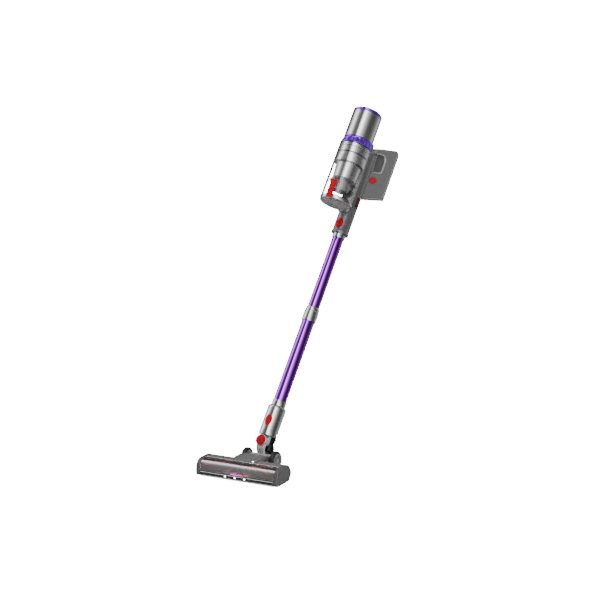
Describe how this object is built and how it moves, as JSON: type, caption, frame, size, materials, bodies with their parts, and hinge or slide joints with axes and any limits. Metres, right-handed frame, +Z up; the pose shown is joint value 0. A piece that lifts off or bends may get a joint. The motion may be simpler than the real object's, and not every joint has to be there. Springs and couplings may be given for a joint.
{
  "type": "cordless stick vacuum",
  "caption": "Cordless stick vacuum with a clear dust bin, telescopic wand, trigger handle with battery, steering neck and a lit brush floor head.",
  "frame": {"origin": "middle of the glide strip under the floor head, on the floor", "axes": "+Z up from the floor, +X along the floor head's width to the side of the drive belt, +Y to the back of the floor head, the way the stick leans"},
  "size_m": [0.2944, 0.7706, 1.007],
  "materials": {
    "battery_pack": "dark grey",
    "battery_release_button": "gloss red",
    "bin_latch": "gloss red",
    "bin_lid_panel": "smoked clear",
    "bin_lid_rim": "satin silver",
    "bin_release_slider": "gloss red",
    "bristle_strip_1": "red bristle",
    "bristle_strip_2": "red bristle",
    "brush_core": "grey felt",
    "brush_motor": "bright steel",
    "chassis": "satin dark grey",
    "clear_cover": "clear",
    "control_board": "green board",
    "cyclone_housing": "satin silver",
    "display_panel": "gloss black",
    "drive_belt": "black rubber",
    "dust_bin": "clear",
    "dust_cone": "satin dark grey",
    "end_cap_left": "satin dark grey",
    "end_cap_right": "satin dark grey",
    "exhaust_filter": "white pleats",
    "filter_cap": "purple translucent",
    "glide_strip": "grey felt",
    "handle_left": "satin dark grey",
    "handle_right": "satin dark grey",
    "head_base": "satin dark grey",
    "impeller": "cast",
    "lid_hinge_pin": "bright steel",
    "lid_seal": "black rubber",
    "light_bar": "dark grey",
    "light_guide": "white",
    "lower_collar": "satin silver",
    "lower_neck": "satin silver",
    "lower_tube": "purple anodised",
    "mesh_skirt": "dark perforated",
    "motor_housing": "satin silver",
    "motor_mount": "black rubber",
    "motor_pulley": "bright steel",
    "motor_ring": "purple translucent",
    "neck_hose": "black ribbed",
    "neck_release_button": "gloss red",
    "neck_shell": "satin silver",
    "pivot_cap": "gloss red",
    "pre_motor_filter": "white felt",
    "rear_cover": "satin dark grey",
    "shroud_cone": "satin silver",
    "steer_pin": "bright steel",
    "suction_motor": "copper coloured",
    "telescope_collar": "satin silver",
    "telescope_lock": "dark grey",
    "trigger": "dark grey",
    "tyre_left": "black rubber",
    "tyre_right": "black rubber",
    "upper_tube": "purple anodised",
    "wand_end_collar": "satin silver",
    "wand_release_button": "gloss red",
    "wheel_axle": "bright steel",
    "wheel_hub_left": "satin dark grey",
    "wheel_hub_right": "satin dark grey"
  },
  "bodies": {
    "main_body": {"chassis": "chassis", "dust_bin": "dust_bin", "cyclone_housing": "cyclone_housing", "shroud_cone": "shroud_cone", "mesh_skirt": "mesh_skirt", "dust_cone": "dust_cone", "pre_motor_filter": "pre_motor_filter", "lid_hinge_pin": "lid_hinge_pin", "motor_ring": "motor_ring", "motor_housing": "motor_housing", "suction_motor": "suction_motor", "motor_mount": "motor_mount", "handle_left": "handle_left", "handle_right": "handle_right", "control_board": "control_board", "upper_tube": "upper_tube", "wand_end_collar": "wand_end_collar"},
    "bin_lid": {"bin_lid_rim": "bin_lid_rim", "bin_lid_panel": "bin_lid_panel", "lid_seal": "lid_seal"},
    "bin_latch": {"bin_latch": "bin_latch"},
    "wand_release_button": {"wand_release_button": "wand_release_button"},
    "bin_release_slider": {"bin_release_slider": "bin_release_slider"},
    "impeller": {"impeller": "impeller"},
    "filter_cap": {"filter_cap": "filter_cap", "display_panel": "display_panel", "exhaust_filter": "exhaust_filter"},
    "trigger": {"trigger": "trigger"},
    "battery_pack": {"battery_pack": "battery_pack"},
    "battery_release_button": {"battery_release_button": "battery_release_button"},
    "lower_wand": {"neck_shell": "neck_shell", "lower_collar": "lower_collar", "lower_tube": "lower_tube", "telescope_collar": "telescope_collar"},
    "neck_release_button": {"neck_release_button": "neck_release_button"},
    "telescope_lock": {"telescope_lock": "telescope_lock"},
    "lower_neck": {"lower_neck": "lower_neck", "steer_pin": "steer_pin", "pivot_cap": "pivot_cap", "neck_hose": "neck_hose"},
    "floor_head": {"head_base": "head_base", "rear_cover": "rear_cover", "clear_cover": "clear_cover", "end_cap_left": "end_cap_left", "end_cap_right": "end_cap_right", "light_bar": "light_bar", "light_guide": "light_guide", "glide_strip": "glide_strip", "brush_motor": "brush_motor", "drive_belt": "drive_belt", "wheel_axle": "wheel_axle"},
    "brush": {"brush_core": "brush_core", "bristle_strip_1": "bristle_strip_1", "bristle_strip_2": "bristle_strip_2"},
    "motor_pulley": {"motor_pulley": "motor_pulley"},
    "wheel_left": {"wheel_hub_left": "wheel_hub_left", "tyre_left": "tyre_left"},
    "wheel_right": {"wheel_hub_right": "wheel_hub_right", "tyre_right": "tyre_right"}
  },
  "joints": [
    {"name": "telescope_slide", "type": "slide", "parent": "main_body", "child": "lower_wand", "axis": [0.1219, 0.4842, 0.8664], "range_m": [0, 0.19]},
    {"name": "telescope_lock_slide", "type": "slide", "parent": "lower_wand", "child": "telescope_lock", "axis": [-0.1219, -0.4842, -0.8664], "range_m": [0, 0.006], "stiffness_N_per_m": 100, "springref_m": -0.003},
    {"name": "neck_button_press", "type": "slide", "parent": "lower_wand", "child": "neck_release_button", "axis": [0, 0.8729, -0.4879], "range_m": [0, 0.0008], "stiffness_N_per_m": 400, "springref_m": -0.001},
    {"name": "steer_hinge", "type": "hinge", "parent": "lower_wand", "child": "lower_neck", "pos_m": [0, 0.10426, 0.07051], "axis": [0, 0.8729, -0.4879], "range_deg": [-33, 47], "deforming": ["neck_hose"]},
    {"name": "pitch_hinge", "type": "hinge", "parent": "lower_neck", "child": "floor_head", "pos_m": [0, 0.0805, 0.028], "axis": [1, 0, 0], "range_deg": [-23, 39]},
    {"name": "brush_spin", "type": "hinge", "parent": "floor_head", "child": "brush", "pos_m": [0, -0.0325, 0.0225], "axis": [1, 0, 0], "continuous": true},
    {"name": "motor_pulley_spin", "type": "hinge", "parent": "floor_head", "child": "motor_pulley", "pos_m": [0, 0.0085, 0.0225], "axis": [1, 0, 0], "continuous": true},
    {"name": "wheel_left_spin", "type": "hinge", "parent": "floor_head", "child": "wheel_left", "pos_m": [-0.046, 0.0805, 0.028], "axis": [1, 0, 0], "continuous": true},
    {"name": "wheel_right_spin", "type": "hinge", "parent": "floor_head", "child": "wheel_right", "pos_m": [0.046, 0.0805, 0.028], "axis": [1, 0, 0], "continuous": true},
    {"name": "bin_lid_hinge", "type": "hinge", "parent": "main_body", "child": "bin_lid", "pos_m": [0.08708, 0.42396, 0.70425], "axis": [0.9925, -0.0595, -0.1064], "range_deg": [0, 85]},
    {"name": "bin_latch_hinge", "type": "hinge", "parent": "main_body", "child": "bin_latch", "pos_m": [0.0928, 0.35445, 0.79654], "axis": [0.9925, -0.0595, -0.1064], "range_deg": [-12, 0], "stiffness_Nm_per_rad": 0.06, "springref_deg": 5.73},
    {"name": "bin_release_slide", "type": "slide", "parent": "main_body", "child": "bin_release_slider", "axis": [-0.1219, -0.4842, -0.8664], "range_m": [0, 0.005], "stiffness_N_per_m": 150, "springref_m": -0.003},
    {"name": "wand_button_press", "type": "slide", "parent": "main_body", "child": "wand_release_button", "axis": [0, 0.8729, -0.4879], "range_m": [0, 0.0008], "stiffness_N_per_m": 400, "springref_m": -0.001},
    {"name": "impeller_spin", "type": "hinge", "parent": "main_body", "child": "impeller", "pos_m": [0.1109, 0.47158, 0.89993], "axis": [0.1219, 0.4842, 0.8664], "continuous": true},
    {"name": "filter_cap_slide", "type": "slide", "parent": "main_body", "child": "filter_cap", "axis": [0.1219, 0.4842, 0.8664], "range_m": [0, 0.05]},
    {"name": "trigger_pull", "type": "slide", "parent": "main_body", "child": "trigger", "axis": [0, -0.8729, 0.4879], "range_m": [0, 0.004], "stiffness_N_per_m": 300, "springref_m": -0.003},
    {"name": "battery_slide", "type": "slide", "parent": "main_body", "child": "battery_pack", "axis": [-0.1219, -0.4842, -0.8664], "range_m": [0, 0.075]},
    {"name": "battery_button_press", "type": "slide", "parent": "main_body", "child": "battery_release_button", "axis": [-0.9925, 0.0595, 0.1064], "range_m": [0, 0.0008], "stiffness_N_per_m": 400, "springref_m": -0.001}
  ],
  "couplings": [
    {"joint": "motor_pulley_spin", "follows": "brush_spin", "ratio": 1.9}
  ]
}
